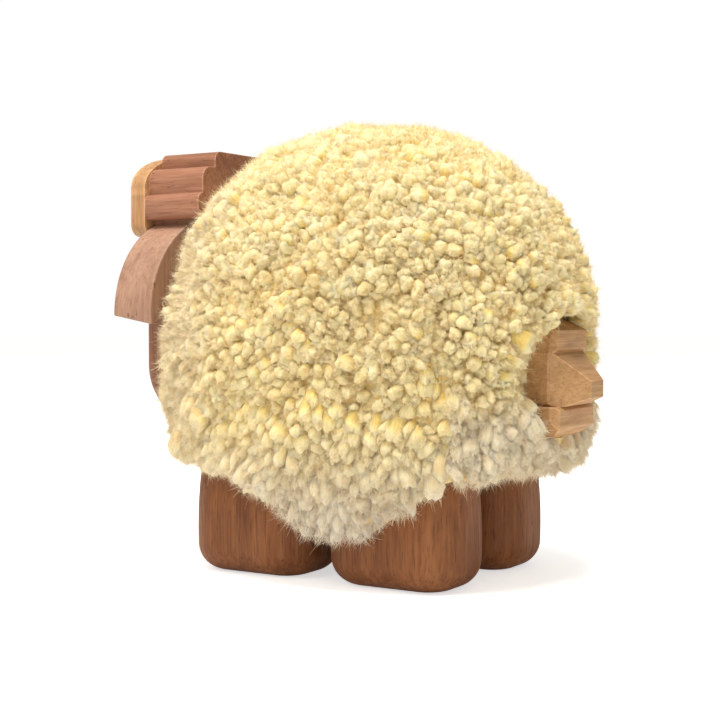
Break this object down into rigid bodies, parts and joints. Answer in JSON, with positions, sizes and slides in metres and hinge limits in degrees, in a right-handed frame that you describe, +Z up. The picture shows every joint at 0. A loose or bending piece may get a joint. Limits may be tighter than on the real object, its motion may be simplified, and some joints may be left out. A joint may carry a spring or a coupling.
{
  "type": "sheep figurine",
  "caption": "Standing sheep ornament of carved wood blocks dowelled to a wooden core, in a sheepskin coat with dense cream wool.",
  "frame": {"origin": "on the floor under the middle of the sheep's length and width", "axes": "+Z up, -X the way the sheep looks, -Y towards its left flank"},
  "size_m": [0.223, 0.1496, 0.1985],
  "materials": {
    "core_wood": "raw planed",
    "leg_wood": "oiled, warm brown, fine upright grain",
    "head_wood": "waxed, pink-brown, with crisp knife edges",
    "pale_wood": "waxed, pale yellow sapwood",
    "eye_wood": "dark polished",
    "tail_wood": "waxed, tan, with crisp knife edges",
    "dowel_wood": "raw turned",
    "tack_metal": "dull",
    "hide": "suede",
    "wool": "dense shorn lamb's wool, cream"
  },
  "bodies": {
    "root": {"body_core": "core_wood", "front_left_leg": "leg_wood", "front_right_leg": "leg_wood", "rear_left_leg": "leg_wood", "rear_right_leg": "leg_wood", "head": "head_wood", "left_ear": "head_wood", "right_ear": "head_wood", "hair_cap": "head_wood", "forelock": "pale_wood", "left_eye": "eye_wood", "right_eye": "eye_wood", "tail": "tail_wood", "leg_dowels": "dowel_wood", "neck_dowels": "dowel_wood", "hair_dowels": "dowel_wood", "ear_dowels": "dowel_wood", "tail_dowel": "dowel_wood", "hem_tacks": "tack_metal", "chest_hide": "hide", "saddle_hide": "hide", "rump_hide": "hide", "chest_fleece": "wool", "saddle_fleece": "wool", "rump_fleece": "wool"}
  },
  "joints": []
}
